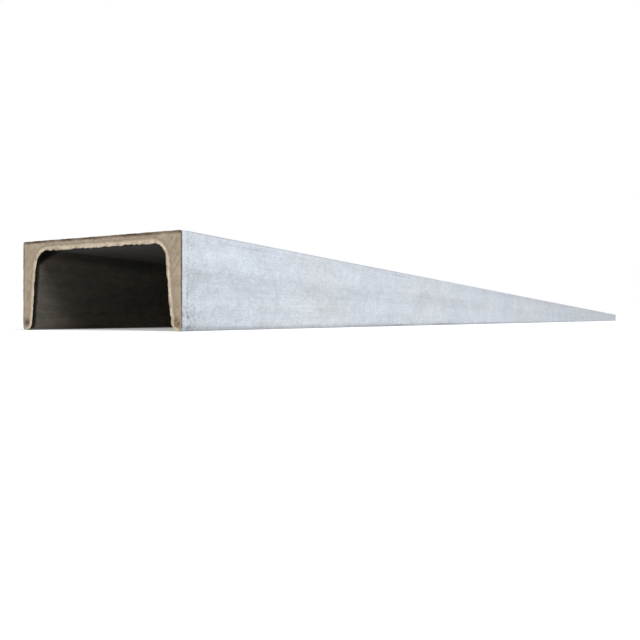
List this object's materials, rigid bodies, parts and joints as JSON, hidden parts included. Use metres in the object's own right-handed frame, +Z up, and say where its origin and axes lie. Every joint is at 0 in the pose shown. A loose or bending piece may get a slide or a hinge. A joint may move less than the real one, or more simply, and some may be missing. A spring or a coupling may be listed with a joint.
{
  "type": "steel c-channel",
  "caption": "Straight hot-rolled steel channel: a flat web with two taper flanges, sawn square at both ends, for frames, supports and bracing.",
  "frame": {"origin": "on the resting plane, under the middle of the bar", "axes": "+Y along the bar, +Z up from the toes of the flanges to the back of the web, +X across the section from one flange to the other"},
  "size_m": [0.12, 6, 0.053],
  "materials": {
    "rolled_steel": "hot-rolled, pale blue-grey scale, bare sawn ends"
  },
  "bodies": {
    "root": {"channel": "rolled_steel"}
  },
  "joints": []
}
